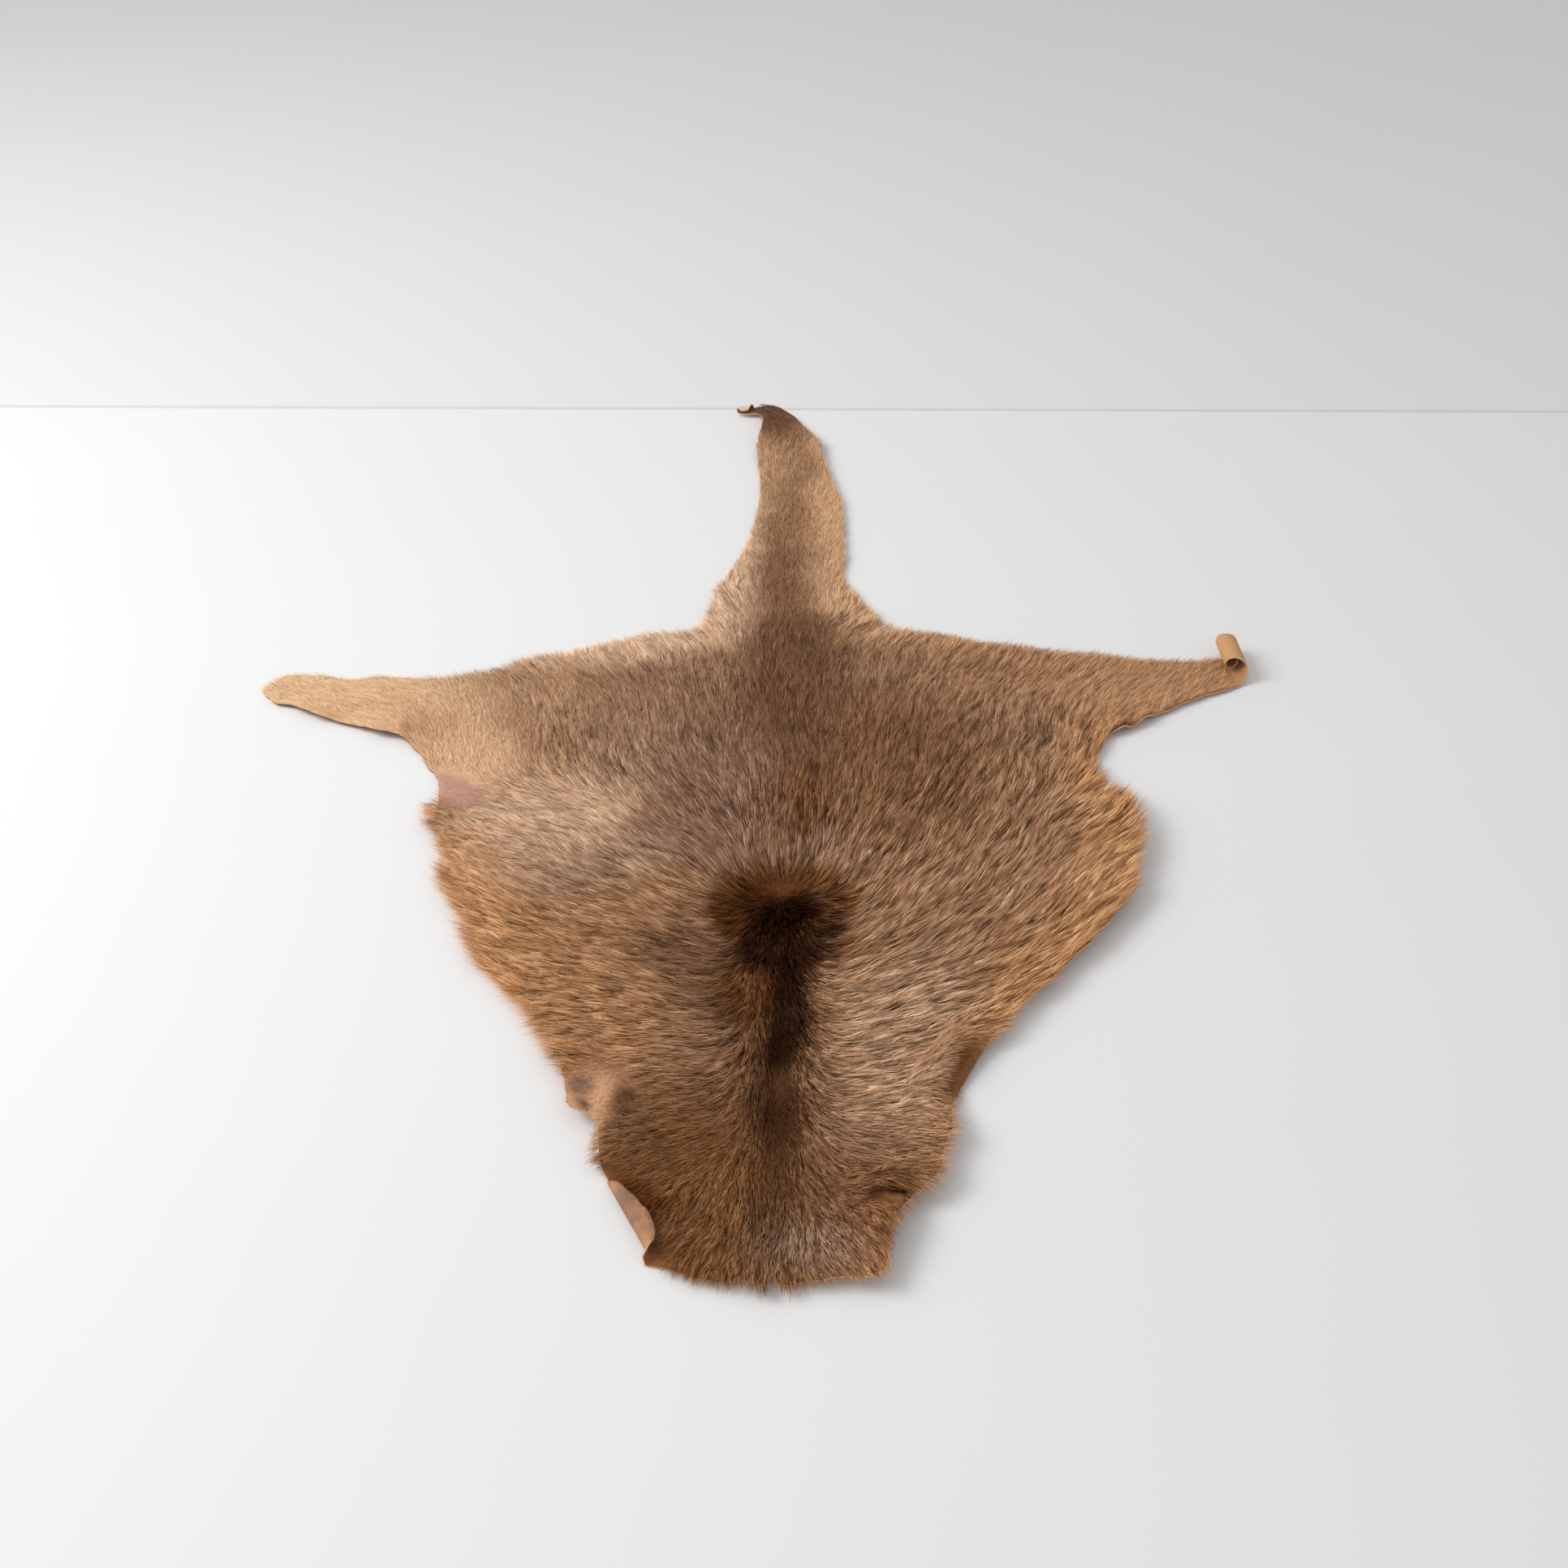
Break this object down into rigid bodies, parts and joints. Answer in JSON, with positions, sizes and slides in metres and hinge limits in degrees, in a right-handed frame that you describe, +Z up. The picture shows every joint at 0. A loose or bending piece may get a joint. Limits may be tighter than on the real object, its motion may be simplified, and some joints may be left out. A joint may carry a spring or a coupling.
{
  "type": "kangaroo hide rug",
  "caption": "Tanned kangaroo skin rug, fur side up, with its tail, short neck and two hind legs, one leg's end rolled up.",
  "frame": {"origin": "on the floor under the middle of the rug's box", "axes": "+Y along the back from the neck to the tail, +X to the right seen from the neck with the fur up, +Z up"},
  "size_m": [0.9894, 1.4037, 0.0283],
  "materials": {
    "fur": "soft golden-brown fur with a dark stripe down the back",
    "suede": "matt golden-tan flesh side"
  },
  "bodies": {
    "root": {"hide": "fur"}
  },
  "joints": []
}
